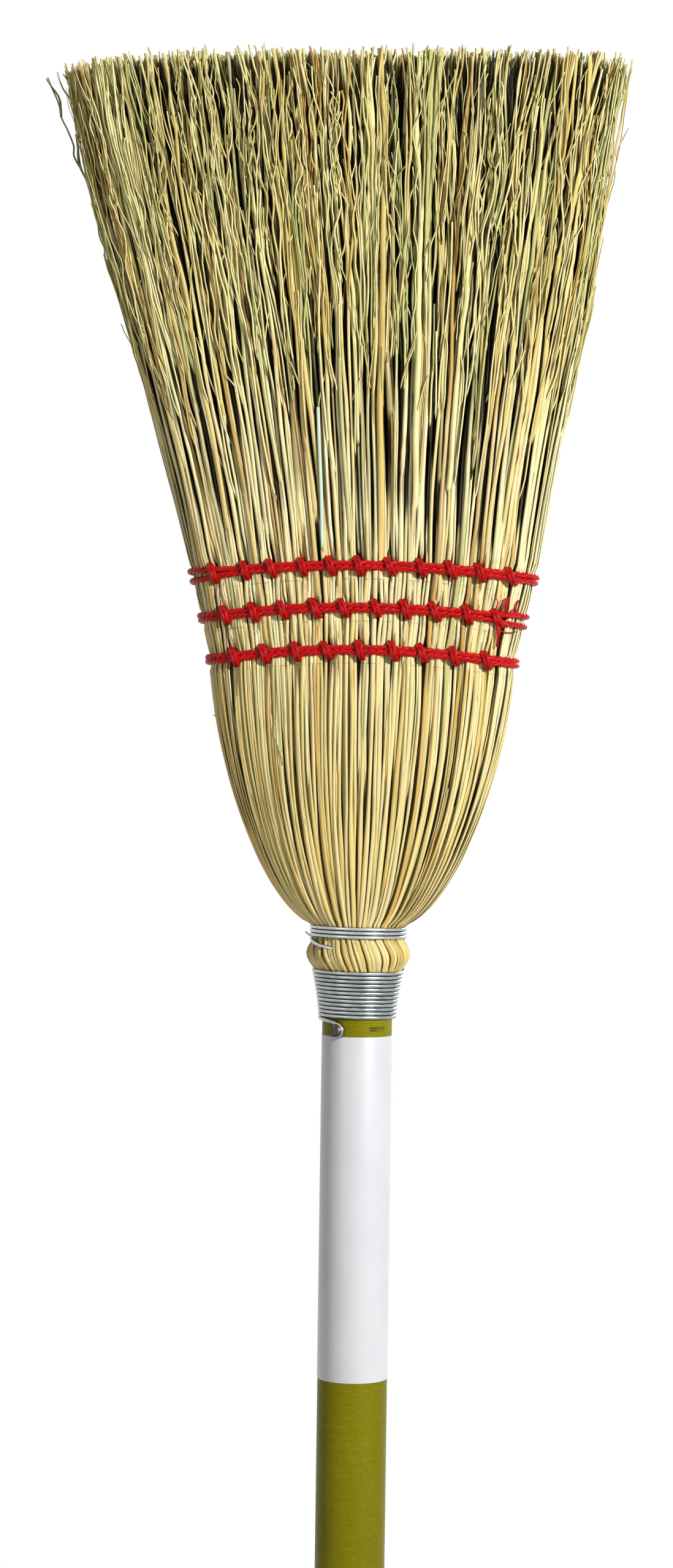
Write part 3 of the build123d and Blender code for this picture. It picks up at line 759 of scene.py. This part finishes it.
for band, twig_foot in enumerate(np.linspace(1.185, 1.305, 7)):
    twig_tip = level(twig_foot + 0.021), min(1.0075, level(twig_foot + 0.042))
    hurl_layers["fringe"].append(dict(
        count=34, points=13, sides=4, foot=(twig_foot, twig_foot + 0.018), tip=twig_tip,
        width=0.0008, tip_share=0.5, taper_from=1.18, inset=(-0.03, 0.02), deep=0.05, climb=0.008,
        sway=0.006, kink=0.0080, spread=0.003, kink_cells=34.0, slant=0.011, hold=0.5,
        tint=(0.15, 0.95), seed=10 + band))
for node, start, first_seed in (("front_hurl_corn", 0.0, 100), ("back_hurl_corn", 0.5, 150)):
    for layer, rows in hurl_layers.items():
        pieces = [
            corn(**dict(row, start=start, finish=start + 0.5, seed=first_seed + row["seed"]))
            for row in rows
        ]
        stands_for = [node] if layer == "stalks" else []
        seat(joined(node.replace("_corn", "_" + layer), pieces), "hurl_corn", *stands_for)


# Binding wire: galvanised steel, wound tight while the head is turned, its turns touching.
# The lower winding starts at the nail and climbs the butts; the upper one grips the waist.
wire_radius = 0.0008
wire_stand = wire_radius + 0.0001
turn_steps = 64
upright = np.array((0.0, 0.0, 1.0))


def neck(angle, z, stand=wire_stand):
    """A point round the neck, on the corn."""
    radius = head_size(z)[0] + stand
    return radius * math.cos(angle), radius * math.sin(angle), z


def path_mesh(paths):
    """Open paths of points, as edges."""
    points, edges = [], []
    for path in paths:
        edges += [(len(points) + k, len(points) + k + 1) for k in range(len(path) - 1)]
        points += [tuple(point) for point in path]
    mesh = bpy.data.meshes.new("paths")
    mesh.from_pydata(points, edges, [])
    return mesh


def swept(line, radius, inputs):
    """Ends a tree with round tubes along its lines, which keep the outline of their section."""
    profile = line.add("GeometryNodeCurvePrimitiveCircle", Resolution=inputs.sides, Radius=1.0)
    profile = keep(profile, "ring", line.add("GeometryNodeInputPosition"), "FLOAT_VECTOR")
    tubes = line.add("GeometryNodeCurveToMesh", {}, line, profile, Scale=radius, Fill_Caps=True)
    end_tree(tubes, inputs.material)


drawn_wire, wire = shape_tree("drawn_wire", Float="radius", Int="sides")
line = drawn_wire.add("GeometryNodeMeshToCurve", Mesh=wire.geometry)
from_axis = vector("MULTIPLY", drawn_wire.add("GeometryNodeInputPosition"), (1.0, 1.0, 0.0))
line = line.add("GeometryNodeSetCurveNormal", {"mode": "FREE"}, line, Normal=from_axis)
swept(line, wire.radius, wire)

galvanised, term = finish("galvanised_wire", Metallic=1.0)
cloud = grain(term, (260, 260, 900), 4.0)
scratch = grain(term, (90, 90, 2600)).smooth(0.60, 0.80)
# The upper wire is made paler: painted light.
upper = split(where(term))[2].smooth(0.966, 0.976)
# Painted shade in the grooves between the touching turns.
groove_shade = 1 - split(read(term, "ring", "Vector"))[0].smooth(0.15, 0.80)
zinc = layered(
    (0.29, 0.315, 0.312),
    (cloud.smooth(0.3, 0.7), (0.43, 0.462, 0.457)),
    (upper * 0.5, (0.58, 0.61, 0.60)),
    (groove_shade * 0.92, (0.020, 0.023, 0.023)),
    (scratch * 0.35, (0.08, 0.085, 0.085)),
)
dress(term, zinc, 0.20 + 0.20 * cloud, cloud, 0.12, 0.0002)
wire_sizes = dict(radius=wire_radius, sides=14, material=galvanised)

nail_bearing, nail_height = math.radians(270 - 29), 0.9425
nail_out = np.array((math.cos(nail_bearing), math.sin(nail_bearing), 0.0))
nail_right = np.array((-math.sin(nail_bearing), math.cos(nail_bearing), 0.0))


def along_nail(stand):
    """A point on the nail's axis, a way out from the paint."""
    return nail_out * (handle_radius + stand) + upright * nail_height


hook_radius = 0.0026
climb_turn, turn_start = math.radians(40), 0.9468
lower_turns, lower_pitch = 12.57, 0.00162
lower_path = [
    along_nail(wire_stand) + hook_radius * (nail_right * math.sin(a) - upright * math.cos(a))
    for a in np.linspace(0.1, math.pi * 0.96, 18)
]
hook_top = lower_path[-1][2]
lower_path += [
    neck(nail_bearing - climb_turn * share, blend(hook_top, turn_start, share**0.5))
    for share in np.linspace(0.12, 1.0, 24)
]
for turn in np.arange(1, int(lower_turns * turn_steps)) / turn_steps:
    angle = nail_bearing - climb_turn - 2 * math.pi * turn
    lower_path.append(neck(angle, turn_start + lower_pitch * turn))
lower_wire = shaped("lower_wire", drawn_wire, path_mesh([lower_path]), **wire_sizes)
seat(lower_wire, "galvanised_wire", "lower_binding_wire")

upper_turns, upper_pitch = 3.25, 0.00164
upper_start = head_foot - upper_pitch / 2
tail_turn, tail_fall, tail_tuck = math.radians(62), 0.0036, 0.0064
upper_path = [
    neck(math.pi / 2 + 2 * math.pi * turn, upper_start - upper_pitch * turn)
    for turn in np.arange(int(upper_turns * turn_steps) + 1) / turn_steps
]
tail_start = upper_path[-1][2]
for share in np.arange(1, 21) / 20:
    angle = math.pi / 2 + 2 * math.pi * upper_turns + tail_turn * share
    stand = wire_stand - tail_tuck * max(0.0, share - 0.75)
    upper_path.append(neck(angle, tail_start - tail_fall * share**1.2, stand))
spur_points = ((196, 0.9795, 0.0004), (186, 0.9803, 0.0016), (180, 0.9816, 0.0034))
spur = [neck(math.radians(degrees), z, stand) for degrees, z, stand in spur_points]
upper_pieces = [
    shaped("upper_wire", drawn_wire, path_mesh([upper_path]), **wire_sizes),
    shaped("spur", drawn_wire, path_mesh([spur]), radius=0.0004, sides=10, material=galvanised),
]
seat(joined("upper_wire", upper_pieces), "galvanised_wire", "upper_binding_wire")
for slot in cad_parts["inner_binding_wire"].material_slots:
    slot.material = galvanised


# Anchor nail: a rusty steel nail, driven through the paint into the wood to hold the wire's end.
# Its flat head is dented by the hammer, with pale spots in the rust.
rust, term = finish("rusty_nail", Metallic=0.6)
scale = grain(term, (900, 900, 900), 4.0)
bright = grain(term, (500, 500, 500), 2.0).smooth(0.6, 0.72)
rusted = layered(
    (0.030, 0.024, 0.021),
    (scale.smooth(0.35, 0.65), (0.105, 0.072, 0.054)),
    (bright * 0.6, (0.34, 0.32, 0.30)),
)
dress(term, rusted, 0.38 + 0.35 * scale, scale, 0.4, 0.0003)
nail_sides, nail_point, head_seat = 9, -0.0184, 0.0016
nail_draw = random.Random(5)
nail_outline = [
    (0.0004, nail_point), (0.0012, -0.0174), (0.0012, head_seat), (0.0026, head_seat),
    (0.0027, head_seat + 0.0006), (0.0022, head_seat + 0.0012), (0.0010, head_seat + 0.0015),
]

nail_rings = []
for radius, stand in nail_outline:
    ring = []
    for angle in 2 * math.pi * np.arange(nail_sides) / nail_sides:
        wobble = 1 + (nail_draw.uniform(-0.09, 0.09) if stand >= head_seat else 0.0)
        dent = nail_draw.uniform(-0.0002, 0.0002) if stand > head_seat else 0.0
        way = nail_right * math.cos(angle) + upright * math.sin(angle)
        ring.append(along_nail(stand + dent) + radius * wobble * way)
    nail_rings.append(ring)
nail_poles = [along_nail(nail_point), along_nail(head_seat + 0.0016)]
nail = tube("nail", nail_rings, nail_poles, rust, sharp_angle=18)
seat(nail, "rusty_steel", "anchor_nail")


# Sewing: three rows of red twine, each twice round the head and locked by stitches through it.
# The twine is split film laid in three plies; the cut end of the middle row frays at the right.
laid_twine, twine = shape_tree(
    "laid_twine", Int="plies sides", Float="ply_radius lay_radius lay_length step")
line = laid_twine.add("GeometryNodeMeshToCurve", Mesh=twine.geometry)
line = line.add("GeometryNodeResampleCurve", {"mode": "LENGTH"}, line, Length=twine.step)
line = line.add("GeometryNodeDuplicateElements", {"domain": "SPLINE"}, line, Amount=twine.plies)
ply = line.out("Duplicate Index")
run = laid_twine.add("GeometryNodeSplineParameter").out("Length")
lay = 2 * math.pi * (ply / twine.plies - run / twine.lay_length)
normal = laid_twine.add("GeometryNodeInputNormal")
beside = vector("CROSS_PRODUCT", laid_twine.add("GeometryNodeInputTangent"), normal)
normal = scaled(normal, laid_twine.math("COSINE", lay) * twine.lay_radius)
beside = scaled(beside, laid_twine.math("SINE", lay) * twine.lay_radius)
line = line.add("GeometryNodeSetPosition", {}, line, Offset=vector("ADD", normal, beside))
swept(keep(keep(line, "along", run), "ply", ply), twine.ply_radius, twine)

red_twine, term = finish("red_twine", Specular_IOR_Level=0.18)
ring_x, ring_y, _ = split(read(term, "ring", "Vector"))
fibrils = noise(term, 3.0, X=ring_x * 2.1, Y=ring_y * 2.1,
                Z=read(term, "along") * 150 + read(term, "ply") * 17)
red = layered(
    (0.27, 0.0003, 0.0005),
    (fibrils.smooth(0.32, 0.68), (0.70, 0.0012, 0.0020)),
    # Painted glints on the palest fibrils.
    (fibrils.smooth(0.62, 0.74) * 0.5, (0.92, 0.09, 0.08)),
)
dress(term, red, 0.12 + 0.22 * fibrils, fibrils, 0.8, 0.0006)

cord_radius, cord_pitch = 0.00115, 0.00176
row_sizes = dict(plies=3, ply_radius=0.00070, lay_radius=0.00060, lay_length=0.0088, step=0.0007,
                 sides=7, material=red_twine)
knot_sizes = dict(row_sizes, ply_radius=0.00056, lay_radius=0.00047, lay_length=0.0150, sides=6)
row_slack = {"bottom": (0.0, 0.0), "middle": (0.0, 0.0012), "top": (0.0011, 0.0002)}
tuck_depth, slack_reach = 0.0045, 0.012
stitch_sink, stitch_proud, strand_apart = 0.0019, 0.0045, 0.00066
stitch_draw = random.Random(11)


def row_path(height, left_slack, right_slack):
    """Twice round the head from the back; slack parts the two passes at an end."""
    half_width, half_depth, _ = head_size(height)
    path = []
    for share in np.linspace(1.5, 5.5, 600):
        climb = 0.5 * math.sin(math.pi / 2 * max(-1.0, min(1.0, (share - 3.5) / 0.10)))
        across = oval(half_width, half_depth, [share])[0][0]
        drop = row_bow * min(1.25, (across / row_reach(height)) ** 2)
        parting = left_slack * hump(across + half_width, slack_reach)
        parting += right_slack * hump(across - half_width, slack_reach)
        z = height + climb * cord_pitch + parting * math.copysign(1, climb) - drop
        width, depth, lean = head_size(z)
        x, y, out_x, out_y = oval(width, depth, [share])
        tucked = max(0.0, 1 - min(share - 1.5, 5.5 - share) / 0.06)
        stand = cord_radius * 0.75 - tuck_depth * tucked**2
        path.append((lean + x[0] + out_x[0] * stand, y[0] + out_y[0] * stand, z))
    return path


def depth_at(half_width, half_depth, across):
    """Half depth of the oval at a place across."""
    end, reach, rise, face, face_angle = arcs(half_width, half_depth)
    if abs(across) <= face * math.sin(face_angle):
        return math.sqrt(face**2 - across**2) - rise
    return math.sqrt(max(0.0, end**2 - (abs(across) - reach) ** 2))


def knot_paths(across, z):
    """A lock stitch, front and back: two turns over the row, from the corn above to below."""
    width, depth, _ = head_size(z)
    slant = stitch_draw.uniform(0.0011, 0.0017)
    tall = stitch_draw.uniform(0.0031, 0.0036)
    across += stitch_draw.uniform(-0.0008, 0.0008)
    surface = depth_at(width, depth, across) - stitch_sink
    return [
        [(across + apart + side * slant * math.cos(angle),
          side * (surface + stitch_proud * math.sin(angle)), z + tall * math.cos(angle))
         for angle in np.linspace(-0.55, math.pi + 0.55, 22)]
        for side in (-1, 1) for apart in (-strand_apart, strand_apart)
    ]


for name, (height, _) in sewing.items():
    band = path_mesh([row_path(height, *row_slack[name])])
    band = shaped(f"{name}_row_twine", laid_twine, band, **row_sizes)
    seat(band, "red_twine", f"{name}_stitch_band")
    loops = path_mesh([path for place in knot_places(name) for path in knot_paths(*place)])
    loops = shaped(f"{name}_row_knots", laid_twine, loops, **knot_sizes)
    seat(loops, "red_twine", f"{name}_lock_stitches")

tapered_fibre, fibre = shape_tree("tapered_fibre", Float="radius tip_share step", Int="sides")
line = tapered_fibre.add("GeometryNodeMeshToCurve", Mesh=fibre.geometry)
line = line.add("GeometryNodeCurveSplineType", {"spline_type": "CATMULL_ROM"}, line)
line = line.add("GeometryNodeResampleCurve", {"mode": "LENGTH"}, line, Length=fibre.step)
along = tapered_fibre.add("GeometryNodeSplineParameter")
line = keep(line, "along", along.out("Length"))
swept(line, fibre.radius * (1 - along * (1 - fibre.tip_share)), fibre)


def on_front(x, z, stand):
    """A point on the front of the head, or proud of it."""
    width, depth, lean = head_size(min(z, tip_height))
    return x, -(depth_at(width, depth, min(max(x - lean, -width), width)) + stand), z


def from_spot(spot, offsets):
    """Places across and up, from their distances to a spot in millimetres."""
    return [(spot[0] + x / 1000, spot[1] + z / 1000) for x, z in offsets]


# How many strands each frayed bundle has, and where it runs from the last stitch of the row.
fray_lines = [
    (1, ((-1.1, 2.0), (-0.4, 4.9), (-0.5, 6.7), (-1.8, 9.2))),
    (4, ((2.9, 1.0), (3.0, 3.0), (3.1, 5.2), (4.2, 8.6))),
    (1, ((0.2, 2.0), (1.2, 5.5), (2.4, 7.6), (4.4, 8.4))),
    (3, ((6.2, 0.8), (6.6, 2.6), (7.1, 4.8), (7.9, 7.4))),
    (5, ((-0.6, -0.5), (0.2, -3.6), (0.2, -5.8), (-0.2, -8.9), (-0.4, -11.8))),
    (1, ((0.4, -4.6), (2.0, -5.5), (4.6, -5.8), (7.8, -5.1))),
    (1, ((4.4, 1.0), (5.2, 3.0), (6.6, 4.4), (7.4, 6.6))),
]
last_stitch = list(knot_places("middle"))[-1]
fray_gap = 0.00034
frays = []
for count, points in fray_lines:
    for beside in (np.arange(count) - (count - 1) / 2) * fray_gap:
        fray = []
        for order, (x, z) in enumerate(from_spot(last_stitch, points)):
            gathered = beside * (1 - 0.6 * order / (len(points) - 1))
            stand = 0.0009 + 0.0011 * math.sin(math.pi * order / len(points))
            fray.append(on_front(x + gathered + stitch_draw.uniform(-0.0002, 0.0002), z, stand))
        frays.append(fray)
frayed = shaped("frayed_twine", tapered_fibre, path_mesh(frays), radius=0.00030, tip_share=0.55,
                step=0.0007, sides=6, material=red_twine)
seat(frayed, "red_twine")


# Odd stalks: a flat leaf near the top, a stalk stained green, twigs that curl off the left edge.
# All grew on the same corn and are held in the head as the rest is.
leaf_turn, stained_turn = 0.319, 0.204
stained_corn = corn_finish(
    "stained_corn", [(0.0, (0.40, 0.56, 0.46)), (1.0, (0.52, 0.68, 0.58))],
    [(0.0, (0.62, 0.70, 0.50)), (1.0, (0.70, 0.76, 0.56))], (0.36, 0.48, 0.38), shade=0.3)
odd_stalks = [
    corn(count=11, per_stalk=11, start=leaf_turn, finish=leaf_turn, foot=(1.245, 1.250),
         tip=(1.0010, 1.0030), width=0.0014, width_spread=0.0, taper_from=1.26, tip_share=1.0,
         flatness=0.35, inset=(-0.005, -0.005), deep=0.14, climb=0.017, sway=0.002, kink=0.0,
         slant=0.0075, tint=(0.78, 0.86), seed=301),
    corn(count=1, points=48, sides=8, start=stained_turn, finish=stained_turn, foot=(1.131, 1.131),
         tip=(level(1.194), level(1.194)), width=0.0020, width_spread=0.0, slant=-0.014,
         flatness=0.7, inset=(-0.01, -0.01), deep=0.10, climb=0.013, sway=0.004, kink=0.0,
         material=stained_corn, seed=302),
]
seat(joined("odd_stalks", odd_stalks), "hurl_corn")

twig_bark, term = finish("twig_bark", Specular_IOR_Level=0.2)
bark = grain(term, (900, 900, 160))
brown = layered((0.20, 0.19, 0.075), (bark.smooth(0.35, 0.65), (0.44, 0.41, 0.18)))
dress(term, brown, 0.45 + 0.25 * bark, bark, 0.4, 0.0003)
# The twigs, in millimetres across and up from the foot of the first.
edge_foot, edge_twigs = (-0.1005, 1.245), [
    ((0, 0), (-7.6, 24), (-14.3, 41.7), (-18.1, 49), (-21.4, 55), (-21.7, 59.3), (-24.1, 65.5),
     (-26.9, 71), (-28.1, 76.5), (-30.9, 83), (-32.8, 87.5)),
    ((-26.9, 71), (-27.2, 74.8), (-28.1, 79.3), (-31.4, 84), (-33.3, 86.8)),
    ((-10.5, 34), (-16, 45), (-18.8, 51), (-19.8, 60), (-19.5, 68.3), (-20.9, 73.8), (-23.2, 78.5),
     (-25.9, 82), (-27.7, 85.8), (-28.7, 89.5)),
    ((-14.5, 51), (-19.3, 65.5), (-19.4, 70.3), (-21.8, 77.5), (-23.2, 82), (-24.6, 86.8),
     (-25.4, 90.2)),
    ((-21.8, 77.5), (-23.7, 81.2), (-23.8, 85), (-26.3, 88.8)),
    ((-18.1, 49), (-19.7, 54), (-20.1, 59), (-20.8, 64)),
]
body_foot, body_twigs = (-0.034, 1.079), [
    ((0, 0), (-0.5, -6.5), (0.4, -11.5), (-0.2, -16.5), (2.2, -23), (4.3, -29)),
    ((-23, -20), (-24.3, -15), (-25.4, -11.8), (-25.6, -10), (-27, -8.6)),
]
zigzag = 0.0006
curled = [
    [(x, zigzag * (order % 3 - 1), z) for order, (x, z) in enumerate(from_spot(edge_foot, twig))]
    for twig in edge_twigs
]
caught = [[on_front(x, z, 0.0002) for x, z in from_spot(body_foot, twig)] for twig in body_twigs]
loose_twigs = [
    shaped("loose_twigs", tapered_fibre, path_mesh(paths), radius=radius, tip_share=0.55,
           step=0.0012, sides=7, material=twig_bark)
    for paths, radius in ((curled, 0.00055), (caught, 0.00030))
]
seat(joined("loose_twigs", loose_twigs), "hurl_corn")
bpy.data.objects.remove(guide)


# Label: a bare white plastic film, wrapped once round the handle under the head and stuck to it.
# Its ends lap at the back, where the upper end is marked by a fine line of painted shade.
lap_start, lap_end, lap_thick = 70, 115, 0.00012
film, term = finish("white_film", Coat_Weight=0.3, Coat_Roughness=0.25)
x, y, _ = split(where(term))
# Painted shade along the upper end of the lap.
lap_shade_line = term.math("ARCTAN2", y, x).near(*np.radians((lap_end + 1.5, 0.4, 1.2)))
weave = grain(term, (700, 700, 700))
clouded = grain(term, (40, 40, 25)).smooth(0.35, 0.7)
white = layered(
    (0.58, 0.58, 0.605), (clouded, (0.62, 0.62, 0.64)), (lap_shade_line * 0.55, (0.24, 0.24, 0.25)))
dress(term, white, 0.33 + 0.12 * weave, weave, 0.05, 0.0002)
label_foot, label_top = (corner.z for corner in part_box("label_sleeve"))
label_sides, label_bevel = 120, 0.0002
label_outline = [
    (0.01425, label_foot), (0.01440, label_foot), (0.01445, label_foot + label_bevel),
    (0.01445, label_top - label_bevel), (0.01440, label_top), (0.01425, label_top),
]
label_turn = 360 * np.arange(label_sides) / label_sides
lapped = lap_thick * ((label_turn >= lap_start) & (label_turn <= lap_end))
label_rings = [
    circle(radius + lapped * (radius > handle_radius), z, label_sides)
    for radius, z in label_outline
]
seat(tube("bare_label", label_rings, [], film), "label_film", "label_sleeve")


# Studio: a pale floor under the handle that fades to white, and white all round.
# A soft key light stands at the front right, with a weak fill at the left and a light behind.
floor_reach, floor_sides, floor_height = 5.0, 96, -0.0005
floor_mesh = bpy.data.meshes.new("floor")
floor_mesh.from_pydata(circle(floor_reach, floor_height, floor_sides), [], [range(floor_sides)])
floor = placed("floor", floor_mesh)


def seen_directly(term):
    """1 for what the camera sees, also in gloss and through glass; 0 for light on things."""
    path = term.add("ShaderNodeLightPath")
    mirrored = term.math("MAXIMUM", path.out("Is Glossy Ray"), path.out("Is Transmission Ray"))
    return term.math("MAXIMUM", path.out("Is Camera Ray"), mirrored)


pale, term = finish("pale_floor", Roughness=0.9)
mottled = grain(term, (6, 6, 6), 2.0).smooth(0.2, 0.8)
dress(term, layered((0.80, 0.80, 0.79), (mottled, (0.84, 0.84, 0.83))))
distance = term.add("ShaderNodeVectorMath", {"operation": "LENGTH"}, where(term))
white_light = term.add("ShaderNodeEmission", Color=(1.0, 1.0, 1.0), Strength=1.0)
lit_floor = Term(term.tree, term.tree.nodes["Principled BSDF"].outputs["BSDF"])
faded = term.add("ShaderNodeMixShader", {}, distance.smooth(0.5, 2.2) * seen_directly(term),
                 lit_floor, white_light)
term.feed(term.tree.nodes["Material Output"].inputs["Surface"], faded)
floor_mesh.materials.append(pale)

world = bpy.data.worlds.new("white_studio")
bpy.context.scene.world = world
world.use_nodes = True
term = Term(world.node_tree)
sky = world.node_tree.nodes["Background"].inputs
sky["Color"].default_value = (1.0, 1.0, 1.0, 1.0)
term.feed(sky["Strength"], 0.075 + 0.925 * seen_directly(term))

light_target = np.array((0.0, 0.0, 1.1))
lights = {
    "key_light": ((1.75, -1.75, 1.95), 0.3, 84.0),
    "fill_light": ((-1.5, -2.1, 1.5), 1.4, 10.0),
    "back_light": ((0.9, 2.2, 1.9), 1.0, 46.0),
}
for name, (place, size, watts) in lights.items():
    light = bpy.data.lights.new(name, "AREA")
    light.shape, light.size, light.energy = "DISK", size, watts
    lamp = placed(name, light)
    lamp.location = place
    x, y, z = light_target - place
    lamp.rotation_euler = (math.atan2(math.hypot(x, y), -z), 0.0, math.atan2(-x, y))

# The camera stands level with the shoulders, a little to the right, and rolls as the photo leans.
yaw, roll = math.radians(4.0), math.radians(0.8)
away, aside, eye_height = 1.255, 0.0098, 1.0425
sensor_height, focal_pixels, photo_pixels = 36.0, 5000, 2560
camera_data = bpy.data.cameras.new("camera")
camera_data.sensor_fit = "VERTICAL"
camera_data.sensor_height = sensor_height
camera_data.lens = sensor_height * focal_pixels / photo_pixels
camera = placed("camera", camera_data)
camera.location = (away * math.sin(yaw) - aside * math.cos(yaw),
                   -away * math.cos(yaw) - aside * math.sin(yaw), eye_height)
camera.rotation_euler = (math.pi / 2, -roll, yaw)
bpy.context.scene.camera = camera
bpy.context.scene.view_settings.view_transform = "Standard"
